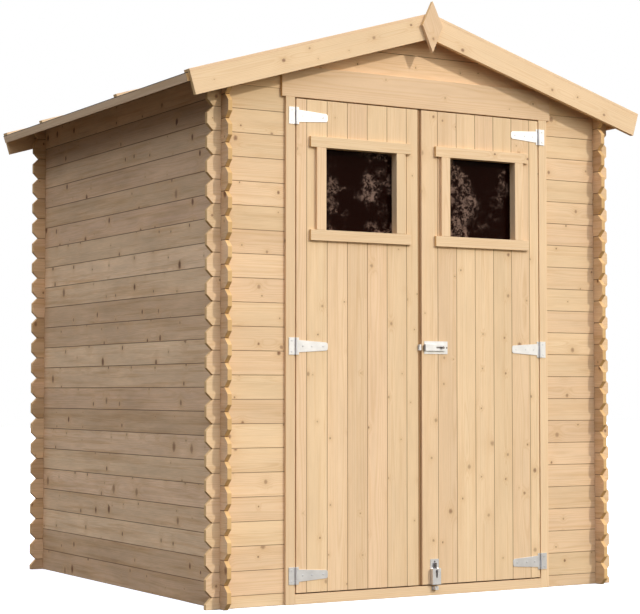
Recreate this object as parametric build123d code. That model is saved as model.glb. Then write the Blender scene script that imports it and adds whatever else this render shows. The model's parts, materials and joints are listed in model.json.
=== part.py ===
"""Wooden garden shed of interlocked boards, with a pair of doors under a gable roof.

Millimetres. The origin is on the ground under the middle of the shed, Z is up, and the
doors are in the front wall, which faces -Y.
"""
import os
from math import atan, ceil, cos, degrees, hypot, radians

from build123d import *

# Wall boards
board_height = 90.0
board_thickness = 18.0
side_courses = 22
wall_width = 1764.0
wall_depth = 1752.0
stub_length = 57.0
stub_chamfer = 25.0
joint_gap = 0.3
fit_gap = 0.3

# Roof
roof_slope = 0.3
eave_overhang = 158.0
roof_board_thickness = 16.0
roof_board_width = 93.0
felt_thickness = 2.5
fascia_height = 30.0
fascia_thickness = 12.0
batten_width = 30.0
batten_height = 11.0
batten_places = (-311.0, 476.0)
cap_width = 45.0
barge_drop = 68.0
barge_thickness = 18.0
barge_overrun = 2.0
purlin_width = 45.0
purlin_depth = 45.0
ridge_purlin_depth = 60.0
purlin_distance = 460.0

# Diamond boards at the gable tips
diamond_width = 94.0
diamond_upper = 97.0
diamond_lower = 106.0
diamond_thickness = 16.0
diamond_above_ridge = -22.5

# Door frame
doorway_width = 1147.0
doorway_top = 1905.5
threshold_height = 37.5
frame_cover = 12.0
jamb_width = 40.0
jamb_web = 15.0
lintel_overhang = 17.0

# Floor
floor_board_thickness = 16.5
floor_board_width = 90.0
bearer_width = 60.0
bearer_height = threshold_height - floor_board_thickness
bearer_spacing = 520.0
floor_margin = 3.0

# Doors
door_gap = 5.0
meeting_gap = 18.0
meeting_shift = -12.0
door_board_thickness = 16.0
door_board_width = 90.0
hinge_side_board = 45.0
ledge_thickness = 20.0
ledge_height = 90.0
ledge_margin = 6.0
brace_width = 70.0
lath_thickness = 18.0
lath_setback = 10.0
lath_gap = 6.5

# Door windows
window_width = 318.0
window_height = 314.0
window_sill = 1406.0
window_offset = 285.0
trim_width = 41.0
trim_overhang = 27.0
trim_thickness = 12.0
sash_bar = 32.0
pane_thickness = 4.0
pane_setback = 25.0
pane_edge = 8.0

# Hinges, their heights measured from the bottom and the top of a leaf
low_hinge = 64.5
middle_hinge = 921.5
high_hinge = 66.0
hinge_plate_height = 65.0
hinge_plate_width = 25.0
hinge_metal = 2.5
hinge_root = 8.0
strap_length = 134.0
strap_root_height = 46.0
strap_tip_height = 30.0
strap_tip_radius = 9.0
knuckle_radius = 4.5
pin_radius = 2.0
pin_gap = 0.3

# Slide latch on the meeting edge
latch_height = 966.0
latch_edge = 10.0
latch_length = 110.0
latch_plate_height = 50.0
latch_case_height = 26.0
latch_case_depth = 11.0
latch_bolt_height = 18.0
latch_bolt_depth = 6.0
latch_bolt_length = 84.0
latch_travel = 24.0
latch_knob_radius = 5.0
latch_knob_length = 12.0
metal_thickness = 2.0
bolt_clearance = 0.5
slot_width = 6.0

# Foot bolt on the same door
foot_bolt_edge = 36.0
foot_bolt_width = 39.0
foot_plate_height = 98.0
foot_case_height = 62.0
foot_case_depth = 18.0
foot_rod_radius = 5.0
foot_rod_length = 84.0
foot_travel = 22.0
foot_keeper_width = 24.0
foot_keeper_height = 14.0
keeper_clearance = 1.5
foot_knob_length = 14.0
foot_knob_radius = 3.5

roof_angle = degrees(atan(roof_slope))
half_width = wall_width / 2
half_depth = wall_depth / 2
front_face = -half_depth
door_front = front_face - frame_cover
door_back = door_front + door_board_thickness
half_doorway = doorway_width / 2
wall_top = side_courses * board_height
eave_underside = wall_top
ridge_underside = eave_underside + half_width * roof_slope
slope_length = (half_width + eave_overhang) / cos(radians(roof_angle))
roof_half_length = half_depth + stub_length
barge_length = slope_length + barge_overrun
outer_leaf_edge = half_doorway - door_gap
leaf_bottom = threshold_height + door_gap
leaf_top = doorway_top - door_gap
left_meeting_edge = meeting_shift - meeting_gap / 2
right_meeting_edge = meeting_shift + meeting_gap / 2
hinge_line = half_doorway - door_gap / 2
hinge_axis_depth = door_front - knuckle_radius
head_course = ceil(doorway_top / board_height + 0.5)
rail_top = (head_course - 0.5) * board_height
lintel_top = rail_top + board_height
hinge_heights = (leaf_bottom + low_hinge, leaf_bottom + middle_hinge, leaf_top - high_hinge)
roof_top = roof_board_thickness + felt_thickness
far = 4 * (wall_width + wall_depth)


def block(x0, x1, y0, y1, z0, z1):
    """A straight block between two corners."""
    size = Box(x1 - x0, y1 - y0, z1 - z0)
    return Pos((x0 + x1) / 2, (y0 + y1) / 2, (z0 + z1) / 2) * size


def prism(points, y0, y1):
    """An outline given as (x, z) points, with its thickness along Y."""
    outline = Polyline(*[(x, 0, z) for x, z in points], close=True)
    return extrude(make_face(outline), amount=y1 - y0, dir=(0, 1, 0)).moved(Location((0, y0, 0)))


def mirrored(shapes):
    """The same pieces on the other side of the middle of the shed."""
    return [mirror(shape, about=Plane.YZ) for shape in shapes]


def save(name, shapes):
    """Write one named piece of the shed."""
    solids = [solid for shape in shapes for solid in shape.solids()]
    body = solids[0] if len(solids) == 1 else Compound(children=solids)
    body.label = name
    export_step(body, os.path.join("parts", name + ".step"))


# Interlocked wall boards
def log_board(left, right, low, high, crossings, square_ends=(), square_foot=False):
    """A board along X with its middle on Y = 0, notched where other boards cross it."""
    half = board_thickness / 2
    board = block(left, right, -half, half, low, high - joint_gap)
    corners = board.edges().filter_by(Axis.Y)
    free = [edge for edge in corners if round(edge.center().X, 3) not in square_ends]
    if square_foot:
        free = [edge for edge in free if edge.center().Z > low + joint_gap]
    if free:
        board = chamfer(free, stub_chamfer)
    notch_half = half + fit_gap
    notch_depth = board_height / 4
    for place in crossings:
        upper = block(place - notch_half, place + notch_half, -board_thickness, board_thickness,
                      high - joint_gap - notch_depth, high)
        board -= upper
        if not square_foot:
            lower = block(place - notch_half, place + notch_half, -board_thickness, board_thickness,
                          low, low + notch_depth)
            board -= lower
    return board


def under_roof():
    """The space below the underside of both roof slopes."""
    outer = half_width + eave_overhang
    eave = eave_underside - eave_overhang * roof_slope
    points = [(-outer, 0), (outer, 0), (outer, eave), (0, ridge_underside), (-outer, eave)]
    return prism(points, -2 * half_depth, 2 * half_depth)


def side_wall():
    """The left wall: full boards, the top one planed to the slope of the roof."""
    reach = half_depth + stub_length
    crossing = half_depth - board_thickness / 2
    place = Pos(-half_width + board_thickness / 2, 0, 0) * Rot(0, 0, 90)
    boards = []
    for course in range(side_courses):
        low = course * board_height
        board = log_board(-reach, reach, low, low + board_height, (-crossing, crossing))
        boards.append(place * board)
    boards[-1] = boards[-1] & under_roof()
    return boards


def gable_courses():
    """How many boards, half a height out of step with the sides, reach the ridge."""
    return ceil(ridge_underside / board_height + 0.5)


def cross_board(course, left, right, square_ends=()):
    """A front or rear board; the lowest is a half board that stands on the ground."""
    low = max(0.0, (course - 0.5) * board_height)
    high = (course + 0.5) * board_height
    crossing = half_width - board_thickness / 2
    places = [place for place in (-crossing, crossing) if left < place < right and low < wall_top]
    return log_board(left, right, low, high, places, square_ends, square_foot=course == 0)


def purlin_slots(clearance):
    """What the ridge purlin and the two side purlins take out of a gable."""
    return [ridge_purlin(clearance)] + side_purlin(clearance) + mirrored(side_purlin(clearance))


def under_slopes(boards):
    """Boards cut to the slopes of the roof, with seats for the purlins."""
    room = under_roof()
    slots = purlin_slots(fit_gap)
    cut = []
    for board in boards:
        board = board & room
        for slot in slots:
            board = board - slot
        cut.append(board)
    return cut


def gable_boards(first_course):
    """Full boards from a given course up to the ridge."""
    reach = half_width + stub_length
    boards = []
    for course in range(first_course, gable_courses()):
        if (course - 0.5) * board_height < wall_top:
            boards.append(cross_board(course, -reach, reach))
        else:
            boards.append(gable_board(course))
    return under_slopes(boards)


def gable_board(course):
    """A board above the side walls, which the slopes alone cut to length."""
    low = (course - 0.5) * board_height
    half = board_thickness / 2
    return block(-half_width, half_width, -half, half, low, low + board_height - joint_gap)


def front_wall_left():
    """The short boards left of the doorway, which end in the groove of the jamb."""
    end = -(half_doorway + jamb_web + fit_gap)
    reach = half_width + stub_length
    boards = [cross_board(course, -reach, end, (round(end, 3),)) for course in range(head_course)]
    return to_front(boards)


def to_front(boards):
    """Boards moved into the plane of the front wall."""
    return [Pos(0, front_face + board_thickness / 2, 0) * board for board in boards]


def to_rear(boards):
    """Boards moved into the plane of the rear wall."""
    return [Pos(0, half_depth - board_thickness / 2, 0) * board for board in boards]


# Roof
def slope_block(along0, along1, y0, y1, rise0, rise1):
    """A block on the right slope: along it from the ridge, and above its underside."""
    flat = block(along0, along1, y0, y1, rise0, rise1)
    return Pos(0, 0, ridge_underside) * Rot(0, roof_angle, 0) * flat


def right_of_middle(gap):
    """The half space right of the ridge, short of it by half a gap."""
    return block(gap / 2, far, -far, far, -far, far)


def mitred(along1, y0, y1, rise0, rise1):
    """A slope block that meets its twin in a plumb joint at the ridge."""
    reach = (abs(rise0) + abs(rise1)) * roof_slope + joint_gap
    return slope_block(-reach, along1, y0, y1, rise0, rise1) & right_of_middle(joint_gap)


def roof_boards():
    """Boards that run down the right slope, side by side from gable to gable."""
    count = round(2 * roof_half_length / roof_board_width)
    pitch = 2 * roof_half_length / count
    boards = []
    for index in range(count):
        y0 = -roof_half_length + index * pitch
        boards.append(mitred(slope_length, y0, y0 + pitch - joint_gap, 0, roof_board_thickness))
    return boards


def roof_felt():
    """The sheet that covers the boards of the right slope."""
    end = slope_length + fascia_thickness
    return [mitred(end, -roof_half_length, roof_half_length, roof_board_thickness, roof_top)]


def eave_fascia():
    """The strip nailed to the lower ends of the roof boards."""
    low = roof_board_thickness - fascia_height
    end = slope_length + fascia_thickness
    return [slope_block(slope_length, end, -roof_half_length, roof_half_length, low, roof_board_thickness)]


def roof_battens():
    """The strips that hold the felt down: two between, and one on top of each barge board."""
    end = slope_length + fascia_thickness
    top = roof_top + batten_height
    battens = []
    for middle in batten_places:
        y0 = middle - batten_width / 2
        battens.append(mitred(end, y0, y0 + batten_width, roof_top, top))
    reach = roof_half_length + barge_thickness
    for y0 in (-reach, reach - cap_width):
        battens.append(mitred(barge_length, y0, y0 + cap_width, roof_top, top))
    return battens


def barge_board():
    """The right barge board of the front gable, cut square at its lower end."""
    y1 = -roof_half_length
    return [mitred(barge_length, y1 - barge_thickness, y1, -barge_drop, roof_top)]


def diamond():
    """The pointed board that covers the joint of the two barge boards."""
    middle = ridge_underside + diamond_above_ridge
    half = diamond_width / 2
    points = [(0, middle + diamond_upper), (half, middle), (0, middle - diamond_lower), (-half, middle)]
    back = -roof_half_length - barge_thickness
    return [prism(points, back - diamond_thickness, back)]


def rear(shapes):
    """The same pieces on the rear gable."""
    return [mirror(shape, about=Plane.XZ) for shape in shapes]


def ridge_purlin(clearance=0.0):
    """The beam under the ridge, its top planed to both slopes."""
    half = purlin_width / 2 + clearance
    shoulder = ridge_underside - half * roof_slope
    low = ridge_underside - ridge_purlin_depth - clearance
    points = [(-half, low), (half, low), (half, shoulder), (0, ridge_underside), (-half, shoulder)]
    return prism(points, -roof_half_length, roof_half_length)


def side_purlin(clearance=0.0):
    """The beam halfway up the right slope."""
    along0 = purlin_distance - purlin_width / 2 - clearance
    along1 = purlin_distance + purlin_width / 2 + clearance
    return [slope_block(along0, along1, -roof_half_length, roof_half_length, -purlin_depth - clearance, 0)]


# Door frame and floor
def jamb():
    """The right jamb: a post with a groove for the ends of the wall boards."""
    inner = half_doorway
    outer = half_doorway + jamb_width
    back = front_face + board_thickness + frame_cover
    post = block(inner, outer, door_front, back, 0, doorway_top)
    groove = block(inner + jamb_web, outer, front_face - fit_gap, front_face + board_thickness + fit_gap,
                   0, doorway_top)
    return [post - groove]


def lintel():
    """The board over the doorway, with a rail behind it that closes the frame."""
    reach = half_doorway + jamb_width + lintel_overhang
    rail_reach = half_doorway + jamb_web
    back = front_face + board_thickness + frame_cover
    board = block(-reach, reach, door_front, front_face, doorway_top, lintel_top)
    rail = block(-rail_reach, rail_reach, front_face, back, doorway_top, rail_top - joint_gap)
    return [board + rail]


def threshold():
    """The sill between the jambs."""
    back = front_face + board_thickness + frame_cover
    return [block(-half_doorway, half_doorway, door_front, back, 0, threshold_height)]


def floor_edges():
    """The inside of the walls, less a margin: x reach, front and rear."""
    x = half_width - board_thickness - floor_margin
    front = front_face + board_thickness + frame_cover
    back = half_depth - board_thickness - floor_margin
    return x, front + fit_gap, back


def floor_boards():
    """Boards from front to rear on top of the bearers, level with the sill."""
    x, front, back = floor_edges()
    count = round(2 * x / floor_board_width)
    pitch = 2 * x / count
    boards = []
    for index in range(count):
        left = -x + index * pitch
        boards.append(block(left, left + pitch - joint_gap, front, back, bearer_height, threshold_height))
    return boards


def floor_bearers():
    """Flat timbers across the shed that lie on the ground."""
    x = floor_edges()[0]
    bearers = []
    for place in (-1.5, -0.5, 0.5, 1.5):
        middle = place * bearer_spacing
        y0 = middle - bearer_width / 2
        bearers.append(block(-x, x, y0, y0 + bearer_width, 0, bearer_height))
    return bearers


# Doors, modelled in the closed position
def leaf_span(side):
    """The left and right edge of a leaf, for side -1 (left) or +1 (right)."""
    if side < 0:
        return -outer_leaf_edge, left_meeting_edge
    return right_meeting_edge, outer_leaf_edge


def door_boards(side):
    """Upright boards of one leaf, with the window cut through."""
    left, right = leaf_span(side)
    joints = [left, right]
    place = outer_leaf_edge - hinge_side_board
    while left < side * place < right:
        joints.append(side * place)
        place -= door_board_width
    joints.sort()
    cut = window_cutter(side, door_front - door_gap, door_back + door_gap, 0)
    boards = []
    for low, high in zip(joints, joints[1:]):
        board = block(low, high - joint_gap, door_front, door_back, leaf_bottom, leaf_top)
        boards.append(board - cut)
    return boards


def window_cutter(side, y0, y1, margin):
    """The window opening of a leaf, grown all round by a margin."""
    middle = side * window_offset
    half = window_width / 2 + margin
    return block(middle - half, middle + half, y0, y1, window_sill - margin,
                 window_sill + window_height + margin)


def window_trim(side):
    """Four flat strips round the outside of a window, the level ones longer."""
    middle = side * window_offset
    half = window_width / 2
    outer = half + trim_width
    reach = outer + trim_overhang
    head = window_sill + window_height
    y0 = door_front - trim_thickness
    strips = [block(middle - reach, middle + reach, y0, door_front, window_sill - trim_width, window_sill)]
    strips.append(block(middle - reach, middle + reach, y0, door_front, head, head + trim_width))
    for inner in (middle - outer, middle + half):
        strips.append(block(inner, inner + trim_width, y0, door_front, window_sill + joint_gap,
                            head - joint_gap))
    return strips


def sash(side):
    """Four bars behind a window, grooved for the edge of the pane."""
    middle = side * window_offset
    half = window_width / 2
    reach = half + sash_bar
    head = window_sill + window_height
    back = door_back + ledge_thickness
    bars = [block(middle - reach, middle + reach, door_back, back, window_sill - sash_bar, window_sill)]
    bars.append(block(middle - reach, middle + reach, door_back, back, head, head + sash_bar))
    for inner in (middle - reach, middle + half):
        bars.append(block(inner, inner + sash_bar, door_back, back, window_sill + joint_gap,
                          head - joint_gap))
    pane_front = door_front + pane_setback
    groove = window_cutter(side, pane_front - fit_gap, pane_front + pane_thickness + fit_gap,
                           pane_edge + fit_gap)
    return [bar - groove for bar in bars]


def pane(side):
    """The sheet of glass, held by its edges."""
    pane_front = door_front + pane_setback
    return [window_cutter(side, pane_front, pane_front + pane_thickness, pane_edge)]


def ledge_levels():
    """The lower and upper edges of the three ledges, one behind each hinge."""
    return [(height - ledge_height / 2, height + ledge_height / 2) for height in hinge_heights]


def door_ledges(side):
    """Three ledges and two slanting braces on the back of a leaf."""
    left, right = leaf_span(side)
    left += ledge_margin
    right -= ledge_margin
    back = door_back + ledge_thickness
    pieces = [block(left, right, door_back, back, low, high) for low, high in ledge_levels()]
    foot, middle, head = ledge_levels()
    pieces.append(brace(side, left, right, foot[1], middle[0]))
    pieces.append(brace(side, left, right, middle[1], window_sill - sash_bar))
    return pieces


def brace(side, left, right, low, high):
    """A slanting brace that rises from the hinge side between two level pieces."""
    start, end = (left, right) if side < 0 else (right, left)
    level = brace_width * hypot(end - start, high - low) / (high - low)
    step = level if end > start else -level
    bottom = low + joint_gap
    top = high - joint_gap
    points = [(start, bottom), (start + step, bottom), (end, top), (end - step, top)]
    return prism(points, door_back, door_back + ledge_thickness)


def closing_lath():
    """The strip on the meeting edge of the right leaf that narrows the gap."""
    front = door_front + lath_setback
    return [block(left_meeting_edge + lath_gap, right_meeting_edge, front, front + lath_thickness,
                  leaf_bottom, leaf_top)]


# Hinges, modelled on the right jamb
def knuckle(low, high, radius):
    """A round on the hinge line between two heights."""
    return Pos(hinge_line, hinge_axis_depth, (low + high) / 2) * Cylinder(radius, high - low)


def jamb_hinge_plate(height):
    """The plate on the jamb, with the pin and the two outer knuckles."""
    low = height - hinge_plate_height / 2
    high = height + hinge_plate_height / 2
    quarter = hinge_plate_height / 4
    face = door_front - hinge_metal
    inner = hinge_line + knuckle_radius + 2 * pin_gap
    plate = block(inner, inner + hinge_plate_width, face, door_front, low, high)
    bridge_low = block(hinge_line, inner, face, door_front, low, low + quarter)
    bridge_high = block(hinge_line, inner, face, door_front, high - quarter, high)
    ends = knuckle(low, low + quarter, knuckle_radius) + knuckle(high - quarter, high, knuckle_radius)
    pin = knuckle(low, high, pin_radius)
    return plate + bridge_low + bridge_high + ends + pin


def strap_outline(height):
    """The long tapered leaf seen from the front."""
    root = hinge_line - knuckle_radius - hinge_root
    tip = root + hinge_root - strap_length
    half_root = strap_root_height / 2
    half_tip = strap_tip_height / 2
    points = [(root, height - half_root), (root, height + half_root), (tip, height + half_tip),
              (tip, height - half_tip)]
    strap = prism(points, door_front - hinge_metal, door_front)
    corners = [edge for edge in strap.edges().filter_by(Axis.Y) if edge.center().X < tip + hinge_root]
    return fillet(corners, strap_tip_radius)


def hinge_strap(height):
    """The strap on the leaf, with a tall root and the middle knuckle."""
    low = height - hinge_plate_height / 2
    high = height + hinge_plate_height / 2
    quarter = hinge_plate_height / 4
    face = door_front - hinge_metal
    root_edge = hinge_line - knuckle_radius - 2 * pin_gap
    root = block(root_edge - hinge_root, root_edge, face, door_front, low, high)
    bridge = block(root_edge, hinge_line, face, door_front, low + quarter + pin_gap, high - quarter - pin_gap)
    eye = knuckle(low + quarter + pin_gap, high - quarter - pin_gap, knuckle_radius)
    strap = strap_outline(height) + root + bridge + eye
    return strap - knuckle(low, high, pin_radius + pin_gap)


def hinge_plates():
    """The three jamb plates of the right leaf."""
    return [jamb_hinge_plate(height) for height in hinge_heights]


def hinge_straps():
    """The three straps of the right leaf."""
    return [hinge_strap(height) for height in hinge_heights]


# Slide latch: the bolt is drawn back, and slides to -X to lock
def latch_case():
    """A plate with a raised channel, slotted for the knob."""
    left = right_meeting_edge + latch_edge
    right = left + latch_length
    low = latch_height - latch_plate_height / 2
    high = latch_height + latch_plate_height / 2
    case_low = latch_height - latch_case_height / 2
    case_high = latch_height + latch_case_height / 2
    face = door_front - latch_case_depth
    plate = block(left, right, door_front - metal_thickness, door_front, low, high)
    channel = block(left, right - latch_case_height / 2, face, door_front, case_low, case_high)
    hollow = block(left - bolt_clearance, right - latch_case_height / 2 - metal_thickness,
                   face + metal_thickness, door_front - metal_thickness,
                   case_low + metal_thickness, case_high - metal_thickness)
    knob = latch_knob_place()
    slot_half = slot_width / 2 + bolt_clearance
    slot = block(knob - latch_travel - slot_half, knob + slot_half, face - metal_thickness,
                 face + 2 * metal_thickness, latch_height - slot_half, latch_height + slot_half)
    return [plate + channel - hollow - slot]


def latch_knob_place():
    """Where the knob stands when the bolt is drawn back."""
    return right_meeting_edge + latch_edge + latch_length - latch_case_height - latch_knob_radius


def latch_bolt():
    """A flat bolt with a round knob."""
    nose = right_meeting_edge + latch_edge - 2 * metal_thickness
    back = door_front - metal_thickness - bolt_clearance
    front = back - latch_bolt_depth
    half = latch_bolt_height / 2
    bar = block(nose, nose + latch_bolt_length, front, back, latch_height - half, latch_height + half)
    stem = Cylinder(slot_width / 2, latch_knob_length, rotation=(90, 0, 0))
    head = Cylinder(latch_knob_radius, latch_knob_length / 3, rotation=(90, 0, 0))
    place = latch_knob_place()
    bar += Pos(place, front - latch_knob_length / 2, latch_height) * stem
    bar += Pos(place, front - latch_knob_length * 5 / 6, latch_height) * head
    return [bar]


def latch_keeper():
    """A loop on the meeting edge of the left leaf that takes the nose of the bolt."""
    half = latch_bolt_height / 2 + bolt_clearance
    inner_back = door_front - metal_thickness
    inner_front = inner_back - latch_bolt_depth - 2 * bolt_clearance
    outer_front = inner_front - metal_thickness
    edge = left_meeting_edge
    low = latch_height - half - metal_thickness
    high = latch_height + half + metal_thickness
    tongue_back = door_front + lath_setback - door_gap
    tongue = block(edge, edge + metal_thickness, outer_front, tongue_back, low, high)
    loop = block(edge, edge + 4 * metal_thickness, outer_front, inner_back + metal_thickness, low, high)
    mouth = block(edge - metal_thickness, edge + 5 * metal_thickness, inner_front, inner_back,
                  latch_height - half, latch_height + half)
    return [tongue + loop - mouth]


# Foot bolt: the rod is drawn up, and slides down to lock
def foot_case():
    """A plate with a deep case on its lower part."""
    left = right_meeting_edge + foot_bolt_edge
    right = left + foot_bolt_width
    low = leaf_bottom
    case_high = low + foot_case_height
    face = door_front - foot_case_depth
    middle = (left + right) / 2
    axis = foot_rod_axis()
    plate = block(left, right, door_front - metal_thickness, door_front, low, low + foot_plate_height)
    case = block(left, right, face, door_front, low, case_high)
    half = foot_rod_radius + bolt_clearance
    hollow = block(left + metal_thickness, right - metal_thickness, face + metal_thickness,
                   door_front - metal_thickness, low + metal_thickness, case_high - metal_thickness)
    bore = Pos(middle, axis, low + foot_case_height / 2) * Cylinder(half, 2 * foot_case_height)
    slot_half = foot_knob_radius + bolt_clearance
    knob = foot_knob_height()
    slot = block(middle - slot_half, middle + slot_half, face - metal_thickness, face + 2 * metal_thickness,
                 knob - foot_travel - slot_half, knob + slot_half)
    return [plate + case - hollow - bore - slot]


def foot_rod_axis():
    """How far forward the rod of the foot bolt runs."""
    return door_front - foot_case_depth / 2


def foot_knob_height():
    """Where the knob stands when the rod is drawn up."""
    return leaf_bottom + foot_case_height - foot_rod_radius - 2 * metal_thickness


def foot_rod():
    """A round rod with a knob that stands forward through the slot."""
    middle = right_meeting_edge + foot_bolt_edge + foot_bolt_width / 2
    axis = foot_rod_axis()
    low = leaf_bottom
    rod = Pos(middle, axis, low + foot_rod_length / 2) * Cylinder(foot_rod_radius, foot_rod_length)
    knob = Cylinder(foot_knob_radius, foot_knob_length, rotation=(90, 0, 0))
    rod += Pos(middle, axis - foot_knob_length / 2, foot_knob_height()) * knob
    return [rod]


def foot_keeper():
    """A strap bent into a square loop on the face of the sill, under the rod."""
    middle = right_meeting_edge + foot_bolt_edge + foot_bolt_width / 2
    axis = foot_rod_axis()
    inner = foot_rod_radius + keeper_clearance
    outer = inner + metal_thickness
    half = foot_keeper_width / 2
    high = threshold_height - metal_thickness
    low = high - foot_keeper_height
    flange = block(middle - half, middle + half, door_front - metal_thickness, door_front, low, high)
    loop = block(middle - outer, middle + outer, axis - outer, door_front, low, high)
    mouth = block(middle - inner, middle + inner, axis - inner, door_front + metal_thickness,
                  low - metal_thickness, high + metal_thickness)
    return [flange + loop - mouth]


os.makedirs("parts", exist_ok=True)

save("left_wall", side_wall())
save("right_wall", mirrored(side_wall()))
save("front_wall_left", front_wall_left())
save("front_wall_right", mirrored(front_wall_left()))
save("front_gable", to_front(gable_boards(head_course)))
save("rear_wall", to_rear(gable_boards(0)))

save("right_roof_boards", roof_boards())
save("left_roof_boards", mirrored(roof_boards()))
save("right_roof_felt", roof_felt())
save("left_roof_felt", mirrored(roof_felt()))
save("right_roof_battens", roof_battens())
save("left_roof_battens", mirrored(roof_battens()))
save("right_eave_fascia", eave_fascia())
save("left_eave_fascia", mirrored(eave_fascia()))
save("front_right_barge_board", barge_board())
save("front_left_barge_board", mirrored(barge_board()))
save("rear_right_barge_board", rear(barge_board()))
save("rear_left_barge_board", rear(mirrored(barge_board())))
save("front_diamond", diamond())
save("rear_diamond", rear(diamond()))
save("ridge_purlin", [ridge_purlin()])
save("right_purlin", side_purlin())
save("left_purlin", mirrored(side_purlin()))

save("right_jamb", jamb())
save("left_jamb", mirrored(jamb()))
save("lintel", lintel())
save("threshold", threshold())
save("floor_boards", floor_boards())
save("floor_bearers", floor_bearers())

for side, name in ((-1, "left_door"), (1, "right_door")):
    save(name + "_boards", door_boards(side))
    save(name + "_ledges", door_ledges(side))
    save(name + "_window_trim", window_trim(side))
    save(name + "_window_bars", sash(side))
    save(name + "_window_pane", pane(side))
save("closing_lath", closing_lath())

save("right_jamb_hinge_plates", hinge_plates())
save("left_jamb_hinge_plates", mirrored(hinge_plates()))
save("right_hinge_straps", hinge_straps())
save("left_hinge_straps", mirrored(hinge_straps()))
save("latch_case", latch_case())
save("latch_bolt", latch_bolt())
save("latch_keeper", latch_keeper())
save("foot_bolt_case", foot_case())
save("foot_bolt", foot_rod())
save("foot_bolt_keeper", foot_keeper())
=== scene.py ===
"""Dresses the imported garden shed: finished boards, felt, hardware and glass, and a pale studio."""
import json
import math
import random

import bmesh
import bpy
import numpy as np
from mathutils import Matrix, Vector

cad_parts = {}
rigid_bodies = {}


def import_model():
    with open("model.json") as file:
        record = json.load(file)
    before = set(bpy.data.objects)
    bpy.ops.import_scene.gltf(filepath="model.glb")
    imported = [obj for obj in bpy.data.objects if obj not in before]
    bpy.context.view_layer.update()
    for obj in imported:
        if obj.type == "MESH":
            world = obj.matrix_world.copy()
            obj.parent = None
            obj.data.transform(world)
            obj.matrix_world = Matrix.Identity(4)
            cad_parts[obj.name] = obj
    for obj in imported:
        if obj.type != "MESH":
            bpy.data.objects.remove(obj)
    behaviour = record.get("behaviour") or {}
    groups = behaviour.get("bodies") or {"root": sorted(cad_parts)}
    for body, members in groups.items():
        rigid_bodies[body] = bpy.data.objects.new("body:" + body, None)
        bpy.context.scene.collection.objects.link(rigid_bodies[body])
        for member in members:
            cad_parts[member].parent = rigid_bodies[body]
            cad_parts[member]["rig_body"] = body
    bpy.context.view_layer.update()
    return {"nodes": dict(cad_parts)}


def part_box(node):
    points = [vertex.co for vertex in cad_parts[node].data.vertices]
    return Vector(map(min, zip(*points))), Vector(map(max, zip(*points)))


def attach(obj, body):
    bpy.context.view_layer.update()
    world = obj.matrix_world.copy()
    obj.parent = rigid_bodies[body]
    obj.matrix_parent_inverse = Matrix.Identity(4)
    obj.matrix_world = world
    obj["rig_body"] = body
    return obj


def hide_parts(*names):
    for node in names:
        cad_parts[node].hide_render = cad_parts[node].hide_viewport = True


bl_info = {
    "name": "Garden Shed",
    "version": (1, 0, 0),
    "blender": (4, 5, 0),
    "location": "3D Viewport > Sidebar > Shed",
    "description": "Finishes a small log-board garden shed around its packed frame",
    "category": "Object",
}

MERGE_DISTANCE = 1e-5
FLAT_ANGLE = math.radians(0.5)
SHARP_ANGLE = math.radians(30)
JOINT_PROBE = 0.004
BROAD_FACE = 1e-4

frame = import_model()


# Sizes and colours that a user may change
def length_setting(name, description, default, least):
    """A length in metres."""
    return bpy.props.FloatProperty(
        name=name, description=description, default=default, min=least, unit="LENGTH")


def colour_setting(name, description, default):
    """The colour of a surface."""
    return bpy.props.FloatVectorProperty(
        name=name, description=description, default=default, min=0.0, max=1.0, size=3,
        subtype="COLOR")


def light_setting(name, description, default):
    """The colour of a light, which may be brighter than white."""
    return bpy.props.FloatVectorProperty(
        name=name, description=description, default=default, min=0.0, soft_max=4.0, size=3,
        subtype="COLOR")


class ShedTimber(bpy.types.PropertyGroup):
    """How the boards are planed and coloured."""
    arris: length_setting("Eased Edge", "Width of the eased edge of a board", 0.0013, 0.0)
    trim_arris: length_setting(
        "Eased Edge of Trim", "Width of the eased edge of a trim strip", 0.0008, 0.0)
    course: length_setting("Course Height", "Height that one wall board covers", 0.09, 0.01)
    seed: bpy.props.IntProperty(
        name="Seed", description="Seed of the differences between boards", default=7)
    pale: colour_setting("Early Wood", "Colour of the pale early wood", (0.83, 0.61, 0.355))
    warm: colour_setting("Late Wood", "Colour of the darker late wood", (0.68, 0.43, 0.205))
    rosy: colour_setting("Rosy Board", "Tint of the redder boards", (0.82, 0.572, 0.345))
    knot: colour_setting("Knot", "Colour of the knots", (0.24, 0.084, 0.023))
    end_grain: colour_setting("End Grain", "Colour of the sawn ends", (0.70, 0.43, 0.15))
    groove: colour_setting("Joint", "Colour in the joints between boards", (0.21, 0.095, 0.026))


class ShedHardware(bpy.types.PropertyGroup):
    """Screws, nails and the finish of the fittings."""
    screw_radius: length_setting(
        "Screw Head Radius", "Radius of a screw head on the fittings", 0.0038, 0.0005)
    screw_height: length_setting(
        "Screw Head Height", "How far a screw head stands up", 0.0012, 0.0001)
    nail_radius: length_setting(
        "Nail Head Radius", "Radius of a clout nail in the felt", 0.0045, 0.0005)
    nail_height: length_setting(
        "Nail Head Height", "Thickness of the head of a clout nail", 0.0008, 0.0001)
    nail_spacing: length_setting(
        "Nail Spacing", "Distance between the nails in the felt", 0.075, 0.01)
    zinc: colour_setting("Zinc", "Colour of the zinc-plated fittings", (0.78, 0.77, 0.76))
    # The darker plating of bolts, screws and nails; on the bolts it is partly painted shade in their
    # slots
    dark_plating: colour_setting(
        "Worn Zinc", "Colour of the sliding bolts and the screws", (0.26, 0.235, 0.22))


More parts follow.
